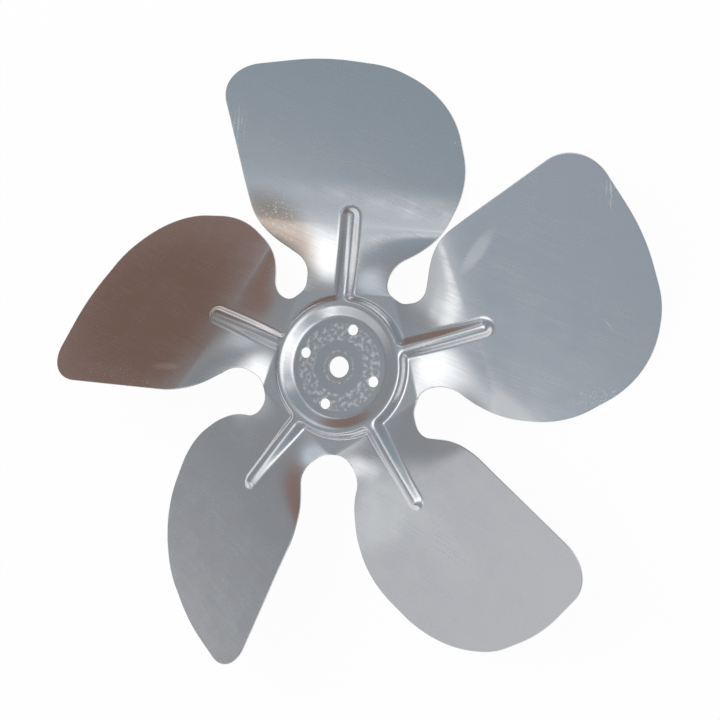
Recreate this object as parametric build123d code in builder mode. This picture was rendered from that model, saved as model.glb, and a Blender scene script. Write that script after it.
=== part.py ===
"""Axial fan impeller pressed from one aluminium sheet: flat disc, ring bead, five ribbed and twisted blades.

Frame: +Z along the shaft, out of the face that carries the raised beads. The origin is on the
bore axis in the front face of the disc, and +Y runs along one rib. Millimetres and degrees.
"""
import os
from math import atan, atan2, cos, radians, sin, tan

from build123d import *

# Sheet and pattern
thickness = 1.0
blade_count = 5
first_blade_angle = 90.0
blade_spacing = 360 / blade_count

# Disc with its bore and bolt holes, one of which lies on a rib's line
bore_diameter = 8.5
bolt_count = 4
bolt_hole_diameter = 4.3
bolt_circle_diameter = 32.0
bolt_angle = first_blade_angle + blade_spacing

# Ring bead round the disc, by its front face: a wall up to the crest and a steeper one down
disc_radius = 20.6
disc_edge_round = 2.6
ring_height = 2.3
inner_wall_width = 4.4
crest_inner_round = 4.5
crest_width = 2.0
crest_outer_round = 1.4
outer_wall_width = 1.9
ring_foot_round = 1.2
crest_inner_radius = disc_radius + inner_wall_width
crest_outer_radius = crest_inner_radius + crest_width
ring_foot_radius = crest_outer_radius + outer_wall_width

# Web: the flat pentagon that the blades bend out of, its margin round the ring, and how far it
# lies behind the disc
web_margin = 1.1
web_drop = 0.9
web_apothem = ring_foot_radius + web_margin

# Rib: raised bead along the middle line of each blade
rib_tip_radius = 65.0
rib_half_width = 3.7
rib_top_half_width = 1.4
rib_top_round = 1.6
rib_end_height = 2.4
rib_step_below_ring = 0.15
rib_start_radius = crest_inner_radius + crest_width / 2

# Blade surface: the pitch grows over the twist, then slowly to the tip, and past the twist
# the middle line bends back by the droop angle
tip_radius = 127.0
twist_end_radius = 58.0
root_pitch = 26.0
tip_pitch = 29.5
camber_radius = 380.0
droop_end_radius = 76.0
droop_angle = 8.2

# Strip that each blade is trimmed from: half its width, and its length past the tip
blade_half_span = 60.0
tip_margin = 4.0

# Notches between the blades: how far their floor clears the web, its half width and corners
notch_floor_margin = 1.5
notch_floor_reach = web_apothem + notch_floor_margin
notch_floor_half_width = 17.3
notch_floor_round = 7.0

# Blade outline: corners along and across the rib, on the bulged leading side, on the straighter
# trailing side and over the tip. A setback is measured inwards from the tip radius.
neck_reach = 41.8
leading_neck_offset = 17.7
leading_neck_round = 11.3
flare_reach = 51.7
flare_offset = 33.2
flare_round = 35.8
belly_reach = 78.2
belly_offset = 42.7
belly_round = 38.8
leading_tip_setback = 12.2
leading_tip_offset = 32.3
leading_tip_round = 41.0
trailing_neck_offset = 15.2
trailing_neck_round = 7.8
shoulder_reach = 53.9
shoulder_offset = 32.9
shoulder_round = 28.0
trailing_tip_setback = 10.2
trailing_tip_offset = 51.9
trailing_tip_round = 14.4
trailing_crown_rise = 0.1
trailing_crown_offset = 16.9
trailing_crown_round = 70.0
leading_crown_setback = 0.7
leading_crown_offset = 7.6
leading_crown_round = 33.0

# Share of a side of the outline that the roundings at its two ends may take up
rounding_share = 0.99


def blade_corners():
    """Corners of one blade's plan, along and across its rib, each with its rounding radius."""
    return [
        ((notch_floor_reach, notch_floor_half_width), notch_floor_round),
        ((neck_reach, trailing_neck_offset), trailing_neck_round),
        ((shoulder_reach, shoulder_offset), shoulder_round),
        ((tip_radius - trailing_tip_setback, trailing_tip_offset), trailing_tip_round),
        ((tip_radius + trailing_crown_rise, trailing_crown_offset), trailing_crown_round),
        ((tip_radius - leading_crown_setback, -leading_crown_offset), leading_crown_round),
        ((tip_radius - leading_tip_setback, -leading_tip_offset), leading_tip_round),
        ((belly_reach, -belly_offset), belly_round),
        ((flare_reach, -flare_offset), flare_round),
        ((neck_reach, -leading_neck_offset), leading_neck_round),
        ((notch_floor_reach, -notch_floor_half_width), notch_floor_round),
    ]


def held_roundings(corners):
    """Rounding radii of a closed outline, each held to the room on the sides that it shares."""
    count = len(corners)
    points = [Vector(*point) for point, rounding in corners]
    sides = [points[(i + 1) % count] - points[i] for i in range(count)]
    turns = [radians(sides[i - 1].get_angle(sides[i])) for i in range(count)]
    needs = [corners[i][1] * tan(turns[i] / 2) for i in range(count)]
    fills = [
        (needs[i] + needs[(i + 1) % count]) / (rounding_share * sides[i].length)
        for i in range(count)
    ]
    return [corners[i][1] / max(1, fills[i - 1], fills[i]) for i in range(count)]


def turned(reach, offset, angle):
    """Point at a reach and an offset from a line that is turned about the shaft."""
    turn = radians(angle)
    return (reach * cos(turn) - offset * sin(turn), reach * sin(turn) + offset * cos(turn))


def twist_run(reach):
    """Share of the twist that is done at one distance from the shaft."""
    run = (reach - web_apothem) / (twist_end_radius - web_apothem)
    return min(max(run, 0), 1)


def pitch_slope(reach):
    """Rise per millimetre across the blade at one distance from the shaft."""
    run = twist_run(reach)
    root_slope = tan(radians(root_pitch))
    tip_slope = tan(radians(tip_pitch))
    outer_run = max(reach - twist_end_radius, 0) / (tip_radius - twist_end_radius)
    return root_slope * (run + run**2 - run**3) + (tip_slope - root_slope) * outer_run


def middle_height(reach):
    """Height of the front face on the blade's middle line."""
    bend_length = droop_end_radius - twist_end_radius
    bent = min(max(reach - twist_end_radius, 0), bend_length)
    straight = max(reach - droop_end_radius, 0)
    return -web_drop - tan(radians(droop_angle)) * (bent**2 / (2 * bend_length) + straight)


def section_plane(reach, tilt=0):
    """Plane across the blade that lies along +X: x across the blade, y out of its front face."""
    return Plane(
        origin=(reach, 0, middle_height(reach)),
        x_dir=(0, cos(tilt), sin(tilt)),
        z_dir=(1, 0, 0),
    )


def blade_section(reach):
    """Face of the sheet's section across a blade: a strip between two equal parabolas."""
    slope = pitch_slope(reach)
    rise = blade_half_span**2 * twist_run(reach) / (2 * camber_radius)
    depth = thickness * (1 + slope**2) ** 0.5
    left_end = rise - slope * blade_half_span
    right_end = rise + slope * blade_half_span
    with BuildSketch(section_plane(reach)) as section:
        with BuildLine():
            front = Bezier((-blade_half_span, left_end), (0, -rise), (blade_half_span, right_end))
            back = Bezier(
                (-blade_half_span, left_end - depth),
                (0, -rise - depth),
                (blade_half_span, right_end - depth),
            )
            Line(front @ 0, back @ 0)
            Line(front @ 1, back @ 1)
        make_face()
    return section.sketch


def rib_height(reach):
    """Height of the rib's top over the blade, level from the ring and lower towards its end."""
    root_height = ring_height + web_drop - rib_step_below_ring
    run = (reach - rib_start_radius) / (rib_tip_radius - rib_half_width - rib_start_radius)
    return root_height + (rib_end_height - root_height) * run


def rib_half_widths(height, inset):
    """Half widths of the rib's section at its base and top, with its faces moved in by inset."""
    flank = atan2(height, rib_half_width - rib_top_half_width)
    base_depth = thickness / 2 + inset
    narrowing = inset / sin(flank)
    base = rib_half_width + base_depth / tan(flank) - narrowing
    top = rib_half_width - (height - inset) / tan(flank) - narrowing
    return base_depth, base, top


def rib_section(plane, height, inset):
    """Face of the rib's section: a trapezium with a round-cornered top, its faces moved in by inset."""
    base_depth, base, top = rib_half_widths(height, inset)
    with BuildSketch(plane) as section:
        with BuildLine():
            FilletPolyline(
                (-base, -base_depth),
                (base, -base_depth),
                (top, height - inset),
                (-top, height - inset),
                radius=(0, 0, rib_top_round - inset, rib_top_round - inset),
                close=True,
            )
        make_face()
    return section.sketch


def rib_solid(inset):
    """One rib with its round end; an inset of the sheet's thickness gives the hollow behind it."""
    end_reach = rib_tip_radius - rib_half_width
    reaches = (rib_start_radius, web_apothem, (web_apothem + end_reach) / 2, end_reach)
    planes = [section_plane(reach, atan(pitch_slope(reach))) for reach in reaches]
    sections = [rib_section(plane, rib_height(reach), inset) for plane, reach in zip(planes, reaches)]
    end_plane = planes[-1]
    with BuildPart() as rib:
        loft(sections[:2])
        loft(sections[1:])
        with BuildSketch(end_plane):
            add(end_plane.to_local_coords(sections[-1]))
            Rectangle(rib_tip_radius, rib_tip_radius, align=(Align.MIN, Align.CENTER), mode=Mode.INTERSECT)
        revolve(axis=Axis(end_plane.origin, -end_plane.y_dir), revolution_arc=180)
    return rib.part


# Plan of the whole impeller, with one blade along +X
with BuildSketch() as plan:
    with BuildLine():
        corners = [
            (turned(*point, -blade_spacing * blade), rounding)
            for blade in range(blade_count)
            for point, rounding in blade_corners()
        ]
        FilletPolyline(
            [point for point, rounding in corners],
            radius=held_roundings(corners),
            close=True,
        )
    make_face()

# Plan of one blade: its own sector of the whole
sector_reach = 2 * tip_radius
with BuildSketch() as blade_plan:
    add(plan.sketch)
    with BuildLine():
        Polyline(
            (0, 0),
            turned(sector_reach, 0, -blade_spacing / 2),
            turned(sector_reach, 0, blade_spacing / 2),
            close=True,
        )
    make_face(mode=Mode.INTERSECT)

# Blade: a strip of sheet lofted over its twist, its bend and its straight run, trimmed to the plan
twist_step = (twist_end_radius - web_apothem) / 3
bend_middle = (twist_end_radius + droop_end_radius) / 2
with BuildPart() as blade:
    loft([blade_section(web_apothem + twist_step * step) for step in range(4)])
    loft([blade_section(reach) for reach in (twist_end_radius, bend_middle, droop_end_radius)])
    loft([blade_section(reach) for reach in (droop_end_radius, tip_radius + tip_margin)], ruled=True)
    with BuildSketch():
        add(blade_plan.sketch)
    extrude(amount=tip_radius, both=True, mode=Mode.INTERSECT)

# Hub: disc and ring bead turned from their front line down to the web's back face
hub_corners = [
    ((0, 0), 0),
    ((disc_radius, 0), disc_edge_round),
    ((crest_inner_radius, ring_height), crest_inner_round),
    ((crest_outer_radius, ring_height), crest_outer_round),
    ((ring_foot_radius, -web_drop), ring_foot_round),
    ((web_apothem, -web_drop), 0),
]
hub_points = [point for point, rounding in hub_corners]
hub_roundings = held_roundings(hub_corners)[1:-1]
web_back = -web_drop - thickness
with BuildPart() as hub_front:
    with BuildSketch(Plane.XZ):
        with BuildLine():
            front_line = FilletPolyline(hub_points, radius=hub_roundings)
            Polyline(front_line @ 1, (web_apothem, web_back), (0, web_back), front_line @ 0)
        make_face()
    revolve(axis=Axis.Z)

# Hollow behind the hub: the same line set back by the sheet's thickness, open at the back
with BuildPart() as hub_hollow:
    with BuildSketch(Plane.XZ):
        with BuildLine():
            FilletPolyline(hub_points, radius=hub_roundings)
            back_line = offset(amount=thickness, side=Side.RIGHT, closed=False)
            Polyline(
                back_line @ 1,
                (web_apothem, web_back - thickness),
                (0, web_back - thickness),
                back_line @ 0,
            )
        make_face()
    revolve(axis=Axis.Z)

rib_front = rib_solid(inset=0)
rib_hollow = rib_solid(inset=thickness)

# Impeller: web, blades, hub and ribs as one sheet, hollow behind every bead, then pierced
with BuildPart() as impeller:
    with BuildSketch(Plane.XY.offset(-web_drop)):
        add(plan.sketch, rotation=first_blade_angle)
        RegularPolygon(
            web_apothem,
            blade_count,
            major_radius=False,
            rotation=first_blade_angle + blade_spacing / 2,
            mode=Mode.INTERSECT,
        )
        Circle(ring_foot_radius, mode=Mode.SUBTRACT)
    extrude(amount=-thickness)
    with PolarLocations(0, blade_count, start_angle=first_blade_angle):
        add(blade.part)
    add(hub_front.part)
    with PolarLocations(0, blade_count, start_angle=first_blade_angle):
        add(rib_front)
    add(hub_hollow.part, mode=Mode.SUBTRACT)
    with PolarLocations(0, blade_count, start_angle=first_blade_angle):
        add(rib_hollow, mode=Mode.SUBTRACT)
    Hole(bore_diameter / 2)
    with PolarLocations(bolt_circle_diameter / 2, bolt_count, start_angle=bolt_angle):
        Hole(bolt_hole_diameter / 2)

impeller.part.label = "impeller"
os.makedirs("parts", exist_ok=True)
export_step(impeller.part, "parts/impeller.step")
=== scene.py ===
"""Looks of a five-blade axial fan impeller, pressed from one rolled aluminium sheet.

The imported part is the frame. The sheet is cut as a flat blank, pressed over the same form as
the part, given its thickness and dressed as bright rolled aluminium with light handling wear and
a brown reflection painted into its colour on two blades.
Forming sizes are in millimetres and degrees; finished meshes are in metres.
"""
import logging
from dataclasses import dataclass, field
from enum import Enum, IntEnum
from math import atan2, ceil, cos, hypot, pi, radians, sin, sqrt, tan

import bmesh
import bpy
from mathutils import Euler, Matrix, Vector


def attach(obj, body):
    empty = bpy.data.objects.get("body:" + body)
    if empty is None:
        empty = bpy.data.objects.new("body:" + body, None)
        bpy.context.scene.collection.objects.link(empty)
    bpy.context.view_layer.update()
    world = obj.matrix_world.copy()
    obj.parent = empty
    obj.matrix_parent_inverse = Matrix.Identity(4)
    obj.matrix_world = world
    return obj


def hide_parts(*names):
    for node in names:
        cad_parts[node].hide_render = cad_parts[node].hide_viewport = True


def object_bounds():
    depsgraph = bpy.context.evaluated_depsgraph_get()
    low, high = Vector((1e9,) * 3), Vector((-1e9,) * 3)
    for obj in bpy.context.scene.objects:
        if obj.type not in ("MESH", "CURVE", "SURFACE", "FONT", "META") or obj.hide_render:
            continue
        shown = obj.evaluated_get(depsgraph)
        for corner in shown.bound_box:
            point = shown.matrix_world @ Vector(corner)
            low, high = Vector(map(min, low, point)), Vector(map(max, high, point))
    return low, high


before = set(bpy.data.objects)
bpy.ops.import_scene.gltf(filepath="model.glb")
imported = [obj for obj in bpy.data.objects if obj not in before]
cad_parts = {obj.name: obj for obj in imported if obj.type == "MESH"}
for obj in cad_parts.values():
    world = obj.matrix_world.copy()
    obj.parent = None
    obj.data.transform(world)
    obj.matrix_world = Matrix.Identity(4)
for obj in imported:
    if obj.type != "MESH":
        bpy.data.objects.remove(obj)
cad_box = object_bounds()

logging.basicConfig(level=logging.INFO, format="%(message)s")
log = logging.getLogger("impeller")

MM = 0.001
ORIGIN = Vector((0, 0, 0))
UP = Vector((0, 0, 1))
BLADE_COUNT = 5
FIRST_BLADE_ANGLE = 90.0


def linear(hex_colour: str) -> tuple[float, float, float, float]:
    """Turns an sRGB hex colour into linear RGBA.

    Args:
        hex_colour: Six hex digits, with or without a leading hash.

    Returns:
        Linear red, green, blue and an alpha of 1.
    """
    digits = hex_colour.lstrip("#")
    srgb = [int(digits[i : i + 2], 16) / 255 for i in (0, 2, 4)]
    rgb = [c / 12.92 if c <= 0.04045 else ((c + 0.055) / 1.055) ** 2.4 for c in srgb]
    return (*rgb, 1.0)


def add_node(tree: bpy.types.NodeTree, kind: str, inputs: dict | None = None, **settings) -> bpy.types.Node:
    """Adds a node with its settings and inputs.

    Args:
        tree: Node tree that takes the node.
        kind: Blender's type name of the node.
        inputs: Socket name or number to a constant or to the output socket that feeds it.
        **settings: Properties of the node itself.

    Returns:
        The new node.
    """
    node = tree.nodes.new(kind)
    for name, value in settings.items():
        setattr(node, name, value)
    for name, value in (inputs or {}).items():
        if isinstance(value, bpy.types.NodeSocket):
            tree.links.new(value, node.inputs[name])
        else:
            node.inputs[name].default_value = value
    return node


def ramp(run: float, half_width: float) -> float:
    """Bends smoothly from level to a slope of one.

    Args:
        run: Distance past the corner.
        half_width: Distance before and after the corner over which it is rounded.

    Returns:
        Height over the level line.
    """
    if run <= -half_width:
        return 0.0
    if run >= half_width:
        return run
    return (run + half_width) ** 2 / (4 * half_width)


def ease(run: float) -> float:
    """Goes smoothly from 0 to 1 as the run does."""
    run = min(max(run, 0.0), 1.0)
    return run * run * (3 - 2 * run)


@dataclass(frozen=True)
class Corner:
    """Corner of a blade's outline: along the rib, across it, and its rounding radius."""

    reach: float
    offset: float
    rounding: float

    @property
    def point(self) -> Vector:
        """Place of the corner in the blank."""
        return Vector((self.reach, self.offset, 0))


@dataclass
class BladeOutline:
    """Trimmed outline of one blade, with its rib along +X, from notch to notch."""

    tip_radius: float = 127.0
    notch_floor_reach: float = 31.5
    notch_floor_half_width: float = 17.3
    notch_floor_round: float = 7.0
    edge_step: float = 1.1

    def corners(self) -> list[Corner]:
        """Gives the corners from the trailing notch over the tip to the leading notch.

        Returns:
            The corners in order.
        """
        tip = self.tip_radius
        floor = (self.notch_floor_reach, self.notch_floor_half_width, self.notch_floor_round)
        return [
            Corner(*floor),
            Corner(41.8, 15.2, 7.8),
            Corner(53.9, 32.9, 28.0),
            Corner(tip - 10.2, 51.9, 14.4),
            Corner(tip + 0.1, 16.9, 70.0),
            Corner(tip - 0.7, -7.6, 33.0),
            Corner(tip - 12.2, -32.3, 41.0),
            Corner(78.2, -42.7, 38.8),
            Corner(51.7, -33.2, 35.8),
            Corner(41.8, -17.7, 11.3),
            Corner(floor[0], -floor[1], floor[2]),
        ]

    def floor_middle(self, half_sector: float) -> float:
        """Distance from the shaft to the middle of a notch's floor."""
        return self.notch_floor_reach * cos(half_sector) + self.notch_floor_half_width * sin(half_sector)

    def trace(self, bm: bmesh.types.BMesh, half_sector: float) -> list[bmesh.types.BMVert]:
        """Draws the outline as a chain of vertices.

        Args:
            bm: Mesh that takes the chain.
            half_sector: Half the angle between two blades.

        Returns:
            The vertices in order, from notch floor to notch floor.
        """
        middle = self.floor_middle(half_sector)
        start = Vector((middle * cos(half_sector), middle * sin(half_sector), 0))
        end = Vector((start.x, -start.y, 0))
        corners = self.corners()
        points = [start, *(corner.point for corner in corners), end]
        chain = [bm.verts.new(start)]
        for before, corner, after in zip(points, corners, points[2:]):
            inward = (corner.point - before).normalized()
            outward = (after - corner.point).normalized()
            turn = atan2(inward.x * outward.y - inward.y * outward.x, inward.dot(outward))
            first = corner.point - inward * corner.rounding * abs(tan(turn / 2))
            side = Vector((-inward.y, inward.x, 0)) * (1 if turn > 0 else -1)
            self.run_to(bm, chain, first)
            steps = max(3, ceil(abs(turn) * corner.rounding / self.edge_step))
            for _ in range(steps):
                made = bmesh.ops.spin(
                    bm,
                    geom=[chain[-1]],
                    cent=first + side * corner.rounding,
                    axis=UP,
                    angle=turn / steps,
                    steps=1,
                )
                chain.append(next(g for g in made["geom_last"] if isinstance(g, bmesh.types.BMVert)))
        self.run_to(bm, chain, end)
        return chain

    def run_to(self, bm: bmesh.types.BMesh, chain: list[bmesh.types.BMVert], goal: Vector) -> None:
        """Adds a straight run of even steps to the end of a chain.

        Args:
            bm: Mesh that holds the chain.
            chain: Vertices so far, which the run's vertices join.
            goal: Where the run ends.
        """
        origin = chain[-1].co.copy()
        steps = max(1, ceil((goal - origin).length / self.edge_step))
        for step in range(1, steps + 1):
            vert = bm.verts.new(origin.lerp(goal, step / steps))
            bm.edges.new((chain[-1], vert))
            chain.append(vert)


@dataclass
class PressedForm:
    """Front face of the pressed sheet, as a height over the flat blank."""

    blade_count: int = BLADE_COUNT
    first_blade_angle: float = FIRST_BLADE_ANGLE
    web_drop: float = 0.9
    disc_radius: float = 20.6
    crest_inner_radius: float = 25.0
    crest_outer_radius: float = 27.0
    ring_foot_radius: float = 28.9
    ring_height: float = 2.3
    disc_edge_bend: float = 0.7
    crest_inner_bend: float = 1.1
    crest_outer_bend: float = 0.75
    ring_foot_bend: float = 0.75
    twist_start_radius: float = 29.4
    twist_end_radius: float = 58.0
    droop_end_radius: float = 76.0
    droop_angle: float = 8.2
    root_pitch: float = 26.0
    tip_pitch: float = 29.5
    tip_radius: float = 127.0
    camber_radius: float = 380.0
    rib_end_radius: float = 61.3
    rib_half_width: float = 3.7
    rib_top_half_width: float = 1.4
    rib_top_bend: float = 0.8
    rib_foot_bend: float = 0.8
    rib_root_height: float = 3.1
    rib_end_height: float = 2.4
    rib_start_gap: float = 0.3
    rib_start_run: float = 1.4

    @property
    def sector(self) -> float:
        """Angle between two blades."""
        return 2 * pi / self.blade_count

    def twist_run(self, reach: float) -> float:
        """Share of the twist that is done at one distance from the shaft."""
        run = (reach - self.twist_start_radius) / (self.twist_end_radius - self.twist_start_radius)
        return min(max(run, 0.0), 1.0)

    def pitch_slope(self, reach: float) -> float:
        """Gives the rise per millimetre across the blade.

        Args:
            reach: Distance along the rib's line from the shaft.

        Returns:
            The slope, which grows quickly over the twist and slowly from there to the tip.
        """
        run = self.twist_run(reach)
        root = tan(radians(self.root_pitch))
        growth = tan(radians(self.tip_pitch)) - root
        outer = max(reach - self.twist_end_radius, 0.0) / (self.tip_radius - self.twist_end_radius)
        return root * (run + run**2 - run**3) + growth * outer

    def middle_height(self, reach: float) -> float:
        """Gives the height of the blade's middle line, which droops towards the tip.

        Args:
            reach: Distance along the rib's line from the shaft.

        Returns:
            Height over the disc's front face.
        """
        bend = self.droop_end_radius - self.twist_end_radius
        bent = min(max(reach - self.twist_end_radius, 0.0), bend)
        straight = max(reach - self.droop_end_radius, 0.0)
        return -self.web_drop - tan(radians(self.droop_angle)) * (bent**2 / (2 * bend) + straight)

    def hub_rise(self, radius: float) -> float:
        """Gives the height of the disc or ring bead.

        Args:
            radius: Distance from the shaft.

        Returns:
            Height over the web.
        """
        wall = self.ring_height / (self.crest_inner_radius - self.disc_radius)
        drop = (self.ring_height + self.web_drop) / (self.ring_foot_radius - self.crest_outer_radius)
        return (
            self.web_drop
            + wall * ramp(radius - self.disc_radius, self.disc_edge_bend)
            - wall * ramp(radius - self.crest_inner_radius, self.crest_inner_bend)
            - drop * ramp(radius - self.crest_outer_radius, self.crest_outer_bend)
            + drop * ramp(radius - self.ring_foot_radius, self.ring_foot_bend)
        )

    def rib_rise(self, reach: float, across: float, radius: float) -> float:
        """Height of a rib over its blade.

        Args:
            reach: Distance along the rib's line from the shaft.
            across: Distance from that line over the tilted blade.
            radius: Distance from the shaft.

        Returns:
            Height square to the blade.
        """
        past_end = max(reach - self.rib_end_radius, 0.0)
        away = hypot(past_end, across)
        span = self.rib_end_radius - self.crest_outer_radius
        run = min(max((reach - self.crest_outer_radius) / span, 0.0), 1.0)
        height = self.rib_root_height + (self.rib_end_height - self.rib_root_height) * run
        flank = height / (self.rib_half_width - self.rib_top_half_width)
        shape = (
            height
            - flank * ramp(away - self.rib_top_half_width, self.rib_top_bend)
            + flank * ramp(away - self.rib_half_width, self.rib_foot_bend)
        )
        start = ease((radius - self.crest_inner_radius - self.rib_start_gap) / self.rib_start_run)
        return max(shape, 0.0) * start

    def place(self, x: float, y: float) -> Vector:
        """Place on the pressed front face of a point of the flat blank.

        Args:
            x: Millimetres along X in the blank, where a rib lies on +X.
            y: Millimetres along Y.

        Returns:
            The point in the same frame.
        """
        radius = hypot(x, y)
        blade = round(atan2(y, x) / self.sector) * self.sector
        reach = x * cos(blade) + y * sin(blade)
        offset = y * cos(blade) - x * sin(blade)
        slope = self.pitch_slope(reach)
        stretch = sqrt(1 + slope**2)
        bow = self.twist_run(reach) / (2 * self.camber_radius)
        height = self.middle_height(reach) + slope * offset + bow * offset**2
        hub = self.hub_rise(radius)
        rib = self.rib_rise(reach, offset * stretch, radius) if reach > 0 else 0.0
        top = self.ring_height + self.web_drop
        bead = top * (1 - (1 - hub / top) * (1 - rib / top))
        offset -= bead * slope / stretch
        height += bead / stretch
        return Vector(
            (reach * cos(blade) - offset * sin(blade), reach * sin(blade) + offset * cos(blade), height)
        )

    def normal(self, x: float, y: float) -> Vector:
        """Gives the direction square to the front face.

        Args:
            x: Millimetres along X in the blank.
            y: Millimetres along Y.

        Returns:
            Unit vector out of the front face.
        """
        step = 0.02
        along = self.place(x + step, y) - self.place(x - step, y)
        across = self.place(x, y + step) - self.place(x, y - step)
        return along.cross(across).normalized()

    def depth(self, x: float, y: float) -> Vector:
        """Gives the way through the sheet, for each millimetre of thickness.

        Args:
            x: Millimetres along X in the blank.
            y: Millimetres along Y.

        Returns:
            Vector square to the sheet at the beads, and straight up at the trimmed rim.
        """
        normal = self.normal(x, y)
        outer = ease((hypot(x, y) - self.ring_foot_radius) / (self.rib_end_radius - self.ring_foot_radius))
        return normal.lerp(UP / normal.z, outer)


class MarkKind(Enum):
    """Ways in which pressing and handling marked the sheet, and a brown reflection painted into its colour.
    """

    SCUFF = "scuff"
    SPECKLE = "speckle"
    # Painted brown reflection, laid into the base colour.
    BROWN_REFLECTION = "brown_reflection"
    SMEAR = "smear"


@dataclass(frozen=True)
class Mark:
    """Worn place or painted brown reflection on one blade, along and across its rib in millimetres, turned in
    degrees.
    """

    kind: MarkKind
    blade: int
    reach: float
    offset: float
    half_length: float
    half_width: float
    turn: float = 0.0
    strength: float = 1.0


@dataclass(frozen=True)
class RubRing:
    """Ring on the flat disc that the motor's flange rubbed bright, in millimetres."""

    radius: float
    half_width: float
    strength: float


@dataclass(frozen=True)
class Mottle:
    """Uneven pattern: the width of its spots in millimetres, and the noise that turns to 0 and 1."""

    width: float
    low: float
    high: float
    detail: float = 3.0

    def mask(self, tree: bpy.types.NodeTree, place: bpy.types.NodeSocket) -> bpy.types.NodeSocket:
        """Adds the pattern.

        Args:
            tree: Node tree of the material.
            place: Place on the piece in millimetres.

        Returns:
            Mask from 0 to 1.
        """
        noise = add_node(
            tree, "ShaderNodeTexNoise", {"Vector": place, "Scale": 1 / self.width, "Detail": self.detail}
        )
        spread = add_node(
            tree,
            "ShaderNodeMapRange",
            {"Value": noise.outputs["Fac"], "From Min": self.low, "From Max": self.high},
        )
        return spread.outputs["Result"]


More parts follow.
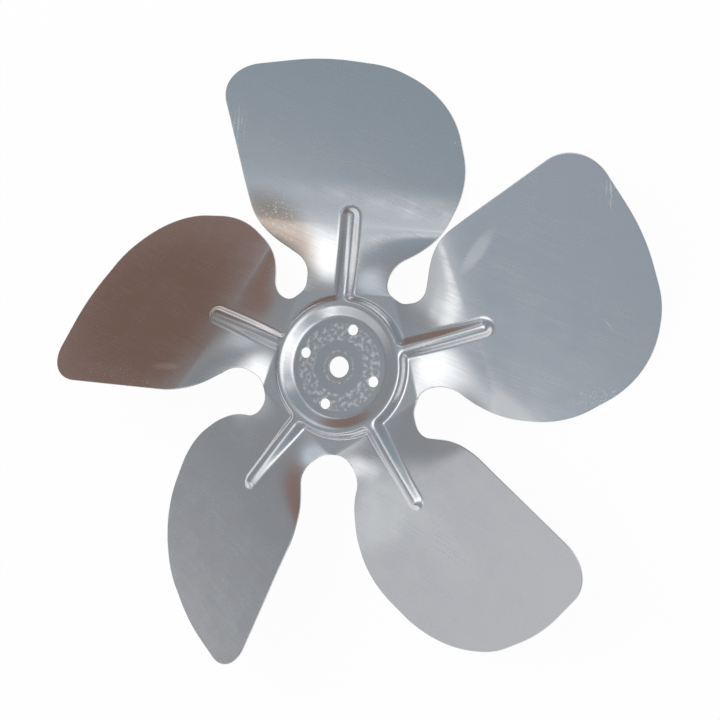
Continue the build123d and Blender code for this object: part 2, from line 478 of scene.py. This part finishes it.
@dataclass(frozen=True)
class RolledAluminium:
    """Bright cold-rolled 1000-series aluminium sheet, pressed and left bare.

    Rolling leaves fine parallel grain that draws reflections out into soft streaks. Pressing
    stretches the metal to a faint orange peel, and the die leaves the flat disc dull. A brown
    reflection of the room is painted into the colour on two blades.
    """

    colour: str = "#e3e4e6"
    worn_colour: str = "#f4f5f6"
    # Brown of a painted reflection, laid into the base colour where the blades show the room's brown.
    brown_reflection_colour: str = "#a58f7c"
    dull_colour: str = "#b9bec2"
    grain_shade: float = 0.10
    cloud_shade: float = 0.12
    roughness: float = 0.17
    grain_roughness: float = 0.08
    cloud_roughness: float = 0.05
    wear_roughness: float = 0.22
    disc_roughness: float = 0.2
    grain_height: float = 0.16
    peel_height: float = 0.35
    wear_height: float = 0.6
    bump_strength: float = 0.22
    bump_depth: float = 0.02
    # Real grain is 0.05 mm wide, and is drawn coarser so that it shows.
    grain_turn: float = -20.0
    grain_width: float = 0.4
    grain_length: float = 18.0
    # The grain's and the scratches' own widths stretch the place first, so their spots are 1 wide.
    grain: Mottle = Mottle(1.0, 0.3, 0.7)
    scratches: Mottle = Mottle(1.0, 0.5, 0.62)
    cloud: Mottle = Mottle(9.0, 0.35, 0.65)
    peel: Mottle = Mottle(0.9, 0.2, 0.8)
    dots: Mottle = Mottle(0.8, 0.58, 0.68)
    patches: Mottle = Mottle(1.7, 0.46, 0.64)
    scratches_along: float = 1.2
    scratches_across: float = 1.3
    smear_share: float = 0.6
    mark_core: float = 0.35
    mark_through: float = 1e4
    disc_radius: float = 20.4
    disc_edge: float = 0.3
    rub_rings: tuple[RubRing, ...] = (
        RubRing(14.5, 3.4, 0.75),
        RubRing(6.4, 0.5, 0.6),
        RubRing(11.0, 0.45, 0.55),
    )
    marks: tuple[Mark, ...] = (
        Mark(MarkKind.SCUFF, 0, 93, 43, 14, 4.0, 3, 0.7),
        Mark(MarkKind.SPECKLE, 0, 95, -37, 4, 4, 0, 1.0),
        # Painted brown reflection near the root of blade 0.
        Mark(MarkKind.BROWN_REFLECTION, 0, 52, 25, 24, 14, 35, 0.75),
        Mark(MarkKind.SPECKLE, 0, 57, 25, 14, 9, 25, 0.7),
        Mark(MarkKind.SMEAR, 4, 69, 26, 12, 3.2, 34, 0.8),
        Mark(MarkKind.SCUFF, 4, 120, 33, 7, 3.0, 78, 0.9),
        Mark(MarkKind.SCUFF, 4, 105, -10, 4, 0.5, 120, 1.0),
        Mark(MarkKind.SPECKLE, 4, 95, -36, 16, 5, -12, 0.8),
        Mark(MarkKind.SPECKLE, 1, 85, 38, 30, 4, 8, 0.5),
        # Painted brown reflection over the whole of blade 1.
        Mark(MarkKind.BROWN_REFLECTION, 1, 88, 8, 60, 52, 0, 0.45),
        Mark(MarkKind.SMEAR, 1, 68, 27, 8, 2.0, 20, 0.4),
        Mark(MarkKind.SPECKLE, 2, 114, 32, 1.2, 1.2, 0, 1.0),
        Mark(MarkKind.SMEAR, 3, 80, 0, 26, 12, 10, 0.25),
    )

    def build(self) -> bpy.types.Material:
        """Makes the material.

        Returns:
            The material, whose patterns are sized in millimetres on Object coordinates.
        """
        material = bpy.data.materials.new("rolled_aluminium_sheet")
        material.use_nodes = True
        tree = material.node_tree
        tree.nodes.clear()
        metres = add_node(tree, "ShaderNodeTexCoord").outputs["Object"]
        place = add_node(
            tree, "ShaderNodeVectorMath", {0: metres, 1: (1 / MM, 1 / MM, 1 / MM)}, operation="MULTIPLY"
        ).outputs[0]
        grain = self._grain(tree, place)
        cloud = self.cloud.mask(tree, place)
        peel = self.peel.mask(tree, place)
        light, brown_reflection, worn = self._wear_and_reflection(tree, place)
        disc, rubbed = self._disc(tree, place)
        colour: tuple | bpy.types.NodeSocket = linear(self.colour)
        for mask, share, tint in (
            (grain, self.grain_shade, self.dull_colour),
            (cloud, self.cloud_shade, self.dull_colour),
            (disc, 1.0, self.dull_colour),
            # Painted brown reflection, mixed into the base colour.
            (brown_reflection, 1.0, self.brown_reflection_colour),
            (light, 1.0, self.worn_colour),
            (rubbed, 1.0, self.worn_colour),
        ):
            part = add_node(tree, "ShaderNodeMath", {0: mask, 1: share}, operation="MULTIPLY", use_clamp=True)
            layer = {"Factor": part.outputs[0], 6: colour, 7: linear(tint)}
            colour = add_node(tree, "ShaderNodeMix", layer, data_type="RGBA").outputs[2]
        roughness = self._sum(
            tree,
            self.roughness,
            (grain, self.grain_roughness),
            (cloud, self.cloud_roughness),
            (worn, self.wear_roughness),
            (disc, self.disc_roughness),
        )
        height = self._sum(
            tree, 0.0, (grain, self.grain_height), (peel, self.peel_height), (worn, self.wear_height)
        )
        bump = add_node(
            tree,
            "ShaderNodeBump",
            {"Strength": self.bump_strength, "Distance": self.bump_depth * MM, "Height": height},
        )
        shader = add_node(
            tree,
            "ShaderNodeBsdfPrincipled",
            {
                "Base Color": colour,
                "Metallic": 1.0,
                "Roughness": roughness,
                "Normal": bump.outputs["Normal"],
            },
        )
        add_node(tree, "ShaderNodeOutputMaterial", {"Surface": shader.outputs["BSDF"]})
        return material

    def _grain(self, tree: bpy.types.NodeTree, place: bpy.types.NodeSocket) -> bpy.types.NodeSocket:
        """Adds the rolling grain, all in one direction.

        Args:
            tree: Node tree of the material.
            place: Place on the piece in millimetres.

        Returns:
            Mask of the grain.
        """
        along = add_node(
            tree,
            "ShaderNodeMapping",
            {
                "Vector": place,
                "Rotation": (0.0, 0.0, radians(self.grain_turn)),
                "Scale": (self.grain_length, self.grain_width, self.grain_length),
            },
            vector_type="TEXTURE",
        )
        return self.grain.mask(tree, along.outputs[0])

    def _sum(
        self, tree: bpy.types.NodeTree, start: float, *terms: tuple[bpy.types.NodeSocket, float]
    ) -> bpy.types.NodeSocket:
        """Adds masks, each by its own weight, to a starting value.

        Args:
            tree: Node tree of the material.
            start: Value where no mask is.
            *terms: Masks with their weights.

        Returns:
            The total.
        """
        total: float | bpy.types.NodeSocket = start
        for mask, weight in terms:
            step = add_node(tree, "ShaderNodeMath", {0: mask, 1: weight, 2: total}, operation="MULTIPLY_ADD")
            total = step.outputs[0]
        return total

    def _oval(
        self, tree: bpy.types.NodeTree, place: bpy.types.NodeSocket, mark: Mark
    ) -> tuple[bpy.types.NodeSocket, bpy.types.NodeSocket]:
        """Adds the soft oval of one mark, through the sheet.

        Args:
            tree: Node tree of the material.
            place: Place on the piece in millimetres.
            mark: The worn place or painted brown reflection.

        Returns:
            Place inside the mark, whose rim is 1 away from its middle, and the oval's mask.
        """
        blade = radians(FIRST_BLADE_ANGLE + 360 / BLADE_COUNT * mark.blade)
        centre = (
            mark.reach * cos(blade) - mark.offset * sin(blade),
            mark.reach * sin(blade) + mark.offset * cos(blade),
            0.0,
        )
        local = add_node(
            tree,
            "ShaderNodeMapping",
            {
                "Vector": place,
                "Location": centre,
                "Rotation": (0.0, 0.0, blade + radians(mark.turn)),
                "Scale": (mark.half_length, mark.half_width, self.mark_through),
            },
            vector_type="TEXTURE",
        ).outputs[0]
        away = add_node(tree, "ShaderNodeVectorMath", {0: local}, operation="LENGTH").outputs["Value"]
        inside = add_node(
            tree,
            "ShaderNodeMapRange",
            {"Value": away, "From Min": 1.0, "From Max": self.mark_core, "To Max": mark.strength},
            interpolation_type="SMOOTHSTEP",
        )
        return local, inside.outputs["Result"]

    def _wear_and_reflection(
        self, tree: bpy.types.NodeTree, place: bpy.types.NodeSocket
    ) -> tuple[bpy.types.NodeSocket, bpy.types.NodeSocket, bpy.types.NodeSocket]:
        """Adds the located wear marks and the painted brown reflection.

        Args:
            tree: Node tree of the material.
            place: Place on the piece in millimetres.

        Returns:
            Masks of where the sheet is lightened, where a brown reflection is painted, and where it is
            roughened.
        """
        light: list[tuple[bpy.types.NodeSocket, float]] = []
        brown_reflection: list[tuple[bpy.types.NodeSocket, float]] = []
        rough: list[tuple[bpy.types.NodeSocket, float]] = []
        dots = self.dots.mask(tree, place)
        for mark in self.marks:
            local, inside = self._oval(tree, place, mark)
            # Painted brown reflection: tints the colour only, and leaves roughness and height alone.
            if mark.kind is MarkKind.BROWN_REFLECTION:
                brown_reflection.append((inside, 1.0))
                continue
            if mark.kind is MarkKind.SMEAR:
                light.append((inside, self.smear_share))
                rough.append((inside, self.smear_share))
                continue
            texture = dots
            if mark.kind is MarkKind.SCUFF:
                spacing = (self.scratches_along, mark.half_width * self.scratches_across, 0.0)
                drawn = add_node(tree, "ShaderNodeVectorMath", {0: local, 1: spacing}, operation="MULTIPLY")
                texture = self.scratches.mask(tree, drawn.outputs[0])
            broken = add_node(tree, "ShaderNodeMath", {0: inside, 1: texture}, operation="MULTIPLY")
            light.append((broken.outputs[0], 1.0))
            rough.append((broken.outputs[0], 1.0))
        return self._sum(tree, 0.0, *light), self._sum(tree, 0.0, *brown_reflection), self._sum(tree, 0.0, *rough)

    def _disc(
        self, tree: bpy.types.NodeTree, place: bpy.types.NodeSocket
    ) -> tuple[bpy.types.NodeSocket, bpy.types.NodeSocket]:
        """Masks the flat disc that the die dulled, and where the motor's flange rubbed it.

        Args:
            tree: Node tree of the material.
            place: Place on the piece in millimetres.

        Returns:
            Masks of the dull disc and of the rubbed patches on it.
        """
        flat = add_node(tree, "ShaderNodeVectorMath", {0: place, 1: (1, 1, 0)}, operation="MULTIPLY")
        radius = add_node(
            tree, "ShaderNodeVectorMath", {0: flat.outputs[0]}, operation="LENGTH"
        ).outputs["Value"]
        edge = {
            "Value": radius,
            "From Min": self.disc_radius + self.disc_edge,
            "From Max": self.disc_radius - self.disc_edge,
        }
        disc = add_node(tree, "ShaderNodeMapRange", edge).outputs["Result"]
        patches = self.patches.mask(tree, place)
        rubbed = []
        for ring in self.rub_rings:
            near = {0: radius, 1: ring.radius, 2: ring.half_width}
            within = add_node(tree, "ShaderNodeMath", near, operation="COMPARE").outputs[0]
            broken = add_node(tree, "ShaderNodeMath", {0: within, 1: patches}, operation="MULTIPLY")
            rubbed.append((broken.outputs[0], ring.strength))
        return disc, self._sum(tree, 0.0, *rubbed)


class Region(IntEnum):
    """Regions of the sheet, kept in its faces' material index while it is shaped."""

    PLAIN = 0
    FIELD = 1
    RIM = 2


@dataclass(frozen=True)
class Band:
    """Stretch of a blade's net up to its end, with the step between its lines."""

    end: float
    step: float


@dataclass
class Impeller:
    """The pressed impeller as one sheet, with the net of its mesh. Millimetres and degrees."""

    thickness: float = 1.0
    edge_round: float = 0.3
    edge_round_steps: int = 2
    bore_radius: float = 4.25
    bore_strip: float = 0.45
    hole_radius: float = 2.15
    hole_strip: float = 0.36
    hole_steps: int = 48
    hole_clearing: float = 1.2
    hole_circle_radius: float = 16.0
    hole_count: int = 4
    hole_angle: float = 72.0
    hub_radius: float = 30.0
    hub_steps: int = 360
    disc_edge_strip: float = 1.0
    disc_step: float = 1.2
    bead_step: float = 0.36
    trim_strips: tuple[float, ...] = (0.36, 0.14)
    across_bands: tuple[Band, ...] = (Band(5.4, 0.5), Band(54.0, 1.9))
    along_start: float = 25.5
    along_bands: tuple[Band, ...] = (Band(34.0, 0.6), Band(56.5, 1.6), Band(66.5, 0.6))
    outer_step: float = 2.1
    cut_tolerance: float = 0.002
    seam_gap: float = 0.004
    outline_gap: float = 0.01
    shortest_edge: float = 0.12
    outline: BladeOutline = field(default_factory=BladeOutline)
    form: PressedForm = field(default_factory=PressedForm)
    finish: RolledAluminium = field(default_factory=RolledAluminium)

    def build(self) -> bpy.types.Object:
        """Cuts, presses, thickens and turns the sheet into place.

        Returns:
            The impeller's object, at the origin.
        """
        bm = bmesh.new()
        self._cut_blade(bm)
        self._repeat_blades(bm)
        self._cut_hub(bm)
        bmesh.ops.remove_doubles(bm, verts=bm.verts, dist=self.seam_gap)
        for index in range(self.hole_count):
            angle = radians(self.hole_angle) + index * 2 * pi / self.hole_count
            self._pierce(bm, Vector((cos(angle), sin(angle), 0)) * self.hole_circle_radius)
        bmesh.ops.recalc_face_normals(bm, faces=bm.faces)
        if sum(face.normal.z * face.calc_area() for face in bm.faces) < 0:
            bmesh.ops.reverse_faces(bm, faces=bm.faces)
        self._press(bm)
        self._break_edges(bm)
        turn = Matrix.Rotation(radians(self.form.first_blade_angle), 3, "Z")
        bmesh.ops.rotate(bm, verts=bm.verts, cent=ORIGIN, matrix=turn)
        bmesh.ops.scale(bm, verts=bm.verts, vec=(MM, MM, MM))
        for face in bm.faces:
            face.smooth = True
            face.material_index = Region.PLAIN
        mesh = bpy.data.meshes.new("pressed_impeller")
        bm.to_mesh(mesh)
        bm.free()
        piece = bpy.data.objects.new("pressed_impeller", mesh)
        bpy.context.scene.collection.objects.link(piece)
        return piece

    def dress(self, piece: bpy.types.Object) -> None:
        """Gives the sheet its finish."""
        piece.data.materials.append(self.finish.build())

    def _cut_blade(self, bm: bmesh.types.BMesh) -> None:
        """Makes one blade of the flat blank, with its rib along +X.

        Args:
            bm: Empty mesh that takes the blade.
        """
        half = self.form.sector / 2
        chain = self.outline.trace(bm, half)
        inner = Vector((cos(half), -sin(half), 0)) * self.hub_radius
        self.outline.run_to(bm, chain, inner)
        steps = round(self.hub_steps / self.form.blade_count)
        for _ in range(steps):
            made = bmesh.ops.spin(
                bm, geom=[chain[-1]], cent=ORIGIN, axis=UP, angle=self.form.sector / steps, steps=1
            )
            chain.append(next(g for g in made["geom_last"] if isinstance(g, bmesh.types.BMVert)))
        self.outline.run_to(bm, chain, chain[0].co.copy())
        bmesh.ops.remove_doubles(bm, verts=bm.verts, dist=self.outline_gap)
        face = bmesh.ops.contextual_create(bm, geom=bm.edges[:])["faces"][0]
        if face.normal.z < 0:
            face.normal_flip()
        for strip in self.trim_strips:
            bmesh.ops.inset_individual(bm, faces=[face], thickness=strip, use_even_offset=True)
        face.material_index = Region.FIELD
        for place, normal in self._cuts():
            faces = [f for f in bm.faces if f.material_index == Region.FIELD]
            edges = dict.fromkeys(e for f in faces for e in f.edges)
            verts = dict.fromkeys(v for f in faces for v in f.verts)
            bmesh.ops.bisect_plane(
                bm,
                geom=[*faces, *edges, *verts],
                dist=self.cut_tolerance,
                plane_co=place,
                plane_no=normal,
            )
        bmesh.ops.remove_doubles(bm, verts=bm.verts, dist=self.shortest_edge)

    def _stations(self, start: float, bands: tuple[Band, ...]) -> list[float]:
        """Places along a line, at each band's step until that band ends.

        Args:
            start: First place.
            bands: The bands in order.

        Returns:
            The places in order.
        """
        places = []
        place = start
        for band in bands:
            while place < band.end:
                places.append(place)
                place += band.step
        return places

    def _cuts(self) -> list[tuple[Vector, Vector]]:
        """Planes that divide a blade into a net, close together at the rib and wide elsewhere.

        Returns:
            A point and the normal of each plane.
        """
        across, along = Vector((0, 1, 0)), Vector((1, 0, 0))
        planes = []
        for offset in self._stations(0.0, self.across_bands):
            sides = (offset, -offset) if offset else (0.0,)
            planes += [(across * side, across) for side in sides]
        bands = (*self.along_bands, Band(self.outline.tip_radius, self.outer_step))
        planes += [(along * reach, along) for reach in self._stations(self.along_start, bands)]
        return planes

    def _repeat_blades(self, bm: bmesh.types.BMesh) -> None:
        """Copies the blade round the shaft.

        Args:
            bm: Mesh that holds one blade.
        """
        copies = self.form.blade_count - 1
        bmesh.ops.spin(
            bm,
            geom=bm.verts[:] + bm.edges[:] + bm.faces[:],
            cent=ORIGIN,
            axis=UP,
            angle=self.form.sector * copies,
            steps=copies,
            use_duplicate=True,
        )

    def _cut_hub(self, bm: bmesh.types.BMesh) -> None:
        """Makes the round middle of the blank, from the bore to the blades.

        Args:
            bm: Mesh that takes the rings.
        """
        radii = [self.bore_radius, self.bore_radius + self.bore_strip]
        disc = Band(self.form.disc_radius - self.disc_edge_strip, self.disc_step)
        for band in (disc, Band(self.hub_radius, self.bead_step)):
            start = radii[-1]
            steps = ceil((band.end - start) / band.step)
            radii += [start + (band.end - start) * step / steps for step in range(1, steps + 1)]
        chain = [bm.verts.new((radius, 0, 0)) for radius in radii]
        edges = [bm.edges.new(pair) for pair in zip(chain, chain[1:])]
        bmesh.ops.spin(
            bm, geom=chain + edges, cent=ORIGIN, axis=UP, angle=2 * pi, steps=self.hub_steps, use_merge=True
        )

    def _pierce(self, bm: bmesh.types.BMesh, centre: Vector) -> None:
        """Pierces one small round hole in the flat disc.

        Args:
            bm: The blank.
            centre: The hole's middle.
        """
        clear = self.hole_radius + self.hole_clearing
        cut = [f for f in bm.faces if (f.calc_center_median() - centre).length < clear]
        bmesh.ops.delete(bm, geom=cut, context="FACES")
        outer = self.hole_radius + self.hole_strip
        pair = [bm.verts.new(centre + Vector((radius, 0, 0))) for radius in (self.hole_radius, outer)]
        line = bm.edges.new(pair)
        bmesh.ops.spin(
            bm, geom=[*pair, line], cent=centre, axis=UP, angle=2 * pi, steps=self.hole_steps, use_merge=True
        )
        nearest, farthest = (self.hole_radius + outer) / 2, clear + self.disc_step
        rim = [
            edge
            for edge in bm.edges
            if edge.is_boundary and nearest < (edge.verts[0].co - centre).length < farthest
        ]
        bmesh.ops.triangle_fill(bm, use_beauty=True, use_dissolve=False, edges=rim, normal=UP)

    def _press(self, bm: bmesh.types.BMesh) -> None:
        """Doubles the flat blank into a front and a back and presses both over the form.

        Args:
            bm: The blank.
        """
        flat = set(bm.faces)
        made = bmesh.ops.extrude_face_region(bm, geom=bm.faces[:], use_keep_orig=True)
        back = {item for item in made["geom"] if isinstance(item, bmesh.types.BMVert)}
        flat |= {item for item in made["geom"] if isinstance(item, bmesh.types.BMFace)}
        for face in bm.faces:
            face.material_index = Region.PLAIN if face in flat else Region.RIM
        for vert in bm.verts:
            x, y = vert.co.x, vert.co.y
            depth = self.thickness if vert in back else 0.0
            vert.co = self.form.place(x, y) - self.form.depth(x, y) * depth
        bmesh.ops.recalc_face_normals(bm, faces=bm.faces)

    def _break_edges(self, bm: bmesh.types.BMesh) -> None:
        """Rounds the cut edges of the sheet a little, on both faces.

        Args:
            bm: The pressed sheet.
        """
        rim = {face for face in bm.faces if face.material_index == Region.RIM}
        corners = [edge for edge in bm.edges if len({face in rim for face in edge.link_faces}) == 2]
        bmesh.ops.bevel(
            bm,
            geom=corners,
            offset=self.edge_round,
            offset_type="OFFSET",
            affect="EDGES",
            segments=self.edge_round_steps,
            profile=0.5,
            clamp_overlap=True,
            material=-1,
        )


@dataclass(frozen=True)
class Card:
    """Soft card in the room: its tilt from straight overhead and its half width, in degrees."""

    tilt_x: float
    tilt_y: float
    spread: float
    colour: str
    strength: float = 1.0

    @property
    def direction(self) -> Vector:
        """Unit vector towards the card."""
        axis = Vector((-self.tilt_y, self.tilt_x, 0))
        return Matrix.Rotation(radians(axis.length), 3, axis) @ UP


@dataclass
class Studio:
    """Pale floor, plain soft light, a grey room with cards that the metal reflects, and the camera."""

    floor_gap: float = 0.3
    floor_half_side: float = 3.0
    floor_colour: str = "#f2f2f2"
    floor_white: float = 0.95
    camera_place: tuple[float, float, float] = (153.6, -2.1, 353.5)
    camera_turn: tuple[float, float, float] = (2.488, 22.127, 4.410)
    lens: float = 47.8
    nearest: float = 0.01
    farthest: float = 10.0
    even_light: float = 0.75
    lamp_place: tuple[float, float, float] = (-0.35, 0.35, 1.0)
    lamp_width: float = 0.8
    lamp_power: float = 3.0
    room: str = "#94969a"
    card_softness: float = 0.35
    # Each card stands in front of the ones before it. The first five set what the blades and the
    # disc reflect, and the rest are the bright window that shows in the roots and the beads.
    cards: tuple[Card, ...] = (
        Card(-55, -55, 26, "#c8c9cc"),
        Card(-38, 54, 20, "#8a7168"),
        Card(34, 30, 22, "#939fa8"),
        Card(15, -44, 18, "#9fa9b3"),
        Card(-24, 0, 12, "#989ea3"),
        Card(-12, 30, 12, "#d8e2ea"),
        Card(-30, -40, 7, "#f0f2f4"),
        Card(-15, -44, 8, "#ffffff", 1.4),
        Card(12, -10, 21, "#ffffff", 1.5),
        Card(25, 20, 4, "#ffffff", 1.2),
    )

    def build(self) -> None:
        """Builds the floor, the light and the camera."""
        self._camera()
        self._floor()
        self._world()
        self._lamp()

    def _camera(self) -> None:
        """Places the camera above the front face, a little to the right of the shaft."""
        data = bpy.data.cameras.new("camera")
        data.lens = self.lens
        data.clip_start, data.clip_end = self.nearest, self.farthest
        camera = bpy.data.objects.new("camera", data)
        camera.location = Vector(self.camera_place) * MM
        camera.rotation_euler = Euler([radians(a) for a in self.camera_turn])
        bpy.context.scene.collection.objects.link(camera)
        bpy.context.scene.camera = camera

    def _floor(self) -> None:
        """Lays a pale floor just under the impeller, which the eye and reflections see almost white."""
        bm = bmesh.new()
        bmesh.ops.create_grid(bm, x_segments=1, y_segments=1, size=self.floor_half_side)
        mesh = bpy.data.meshes.new("floor")
        bm.to_mesh(mesh)
        bm.free()
        floor = bpy.data.objects.new("floor", mesh)
        floor.location.z = cad_box[0].z - self.floor_gap * MM
        bpy.context.scene.collection.objects.link(floor)
        material = bpy.data.materials.new("matt_white_board")
        material.use_nodes = True
        tree = material.node_tree
        tree.nodes.clear()
        rays = add_node(tree, "ShaderNodeLightPath")
        board = add_node(tree, "ShaderNodeBsdfDiffuse", {"Color": linear(self.floor_colour)})
        white = add_node(tree, "ShaderNodeEmission", {"Color": linear("#ffffff"), "Strength": 1.0})
        seen = rays.outputs["Is Camera Ray"]
        for kind in ("Is Glossy Ray", "Is Transmission Ray"):
            either = {0: seen, 1: rays.outputs[kind]}
            seen = add_node(tree, "ShaderNodeMath", either, operation="MAXIMUM").outputs[0]
        share = add_node(tree, "ShaderNodeMath", {0: seen, 1: self.floor_white}, operation="MULTIPLY")
        mixed = add_node(
            tree,
            "ShaderNodeMixShader",
            {0: share.outputs[0], 1: board.outputs[0], 2: white.outputs[0]},
        )
        add_node(tree, "ShaderNodeOutputMaterial", {"Surface": mixed.outputs[0]})
        mesh.materials.append(material)

    def _world(self) -> None:
        """Lights the scene evenly. Reflections see a grey room with cards, and the eye sees white."""
        world = bpy.data.worlds.new("room")
        bpy.context.scene.world = world
        world.use_nodes = True
        tree = world.node_tree
        tree.nodes.clear()
        rays = add_node(tree, "ShaderNodeLightPath")
        gaze = add_node(tree, "ShaderNodeTexCoord").outputs["Generated"]
        colour: tuple | bpy.types.NodeSocket = linear(self.room)
        for card in self.cards:
            facing = add_node(
                tree, "ShaderNodeVectorMath", {0: gaze, 1: card.direction}, operation="DOT_PRODUCT"
            )
            edge = add_node(
                tree,
                "ShaderNodeMapRange",
                {
                    "Value": facing.outputs["Value"],
                    "From Min": cos(radians(card.spread * (1 + self.card_softness))),
                    "From Max": cos(radians(card.spread * (1 - self.card_softness))),
                },
                interpolation_type="SMOOTHSTEP",
            )
            tone = tuple(Vector(linear(card.colour)) * card.strength)
            front = {"Factor": edge.outputs["Result"], 6: colour, 7: tone}
            colour = add_node(tree, "ShaderNodeMix", front, data_type="RGBA").outputs[2]
        reflected = add_node(tree, "ShaderNodeBackground", {"Color": colour, "Strength": 1.0})
        even = add_node(
            tree, "ShaderNodeBackground", {"Color": linear("#ffffff"), "Strength": self.even_light}
        )
        white = add_node(tree, "ShaderNodeBackground", {"Color": linear("#ffffff"), "Strength": 1.0})
        lit = add_node(
            tree,
            "ShaderNodeMixShader",
            {0: rays.outputs["Is Glossy Ray"], 1: even.outputs[0], 2: reflected.outputs[0]},
        )
        shown = add_node(
            tree,
            "ShaderNodeMixShader",
            {0: rays.outputs["Is Camera Ray"], 1: lit.outputs[0], 2: white.outputs[0]},
        )
        add_node(tree, "ShaderNodeOutputWorld", {"Surface": shown.outputs[0]})

    def _lamp(self) -> None:
        """Hangs one broad soft lamp overhead, which gives the floor its faint shadow."""
        data = bpy.data.lights.new("softbox", "AREA")
        data.shape = "DISK"
        data.size = self.lamp_width
        data.energy = self.lamp_power
        lamp = bpy.data.objects.new("softbox", data)
        lamp.location = self.lamp_place
        lamp.rotation_euler = (-lamp.location).to_track_quat("-Z", "Y").to_euler()
        lamp.visible_glossy = False
        bpy.context.scene.collection.objects.link(lamp)


def main() -> None:
    """Builds the studio and the impeller in it."""
    bpy.context.scene.view_settings.view_transform = "Standard"
    Studio().build()
    impeller = Impeller()
    piece = impeller.build()
    impeller.dress(piece)
    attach(piece, "root")
    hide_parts("impeller")
    log.info("%s: %d faces", piece.name, len(piece.data.polygons))


if __name__ == "__main__":
    main()
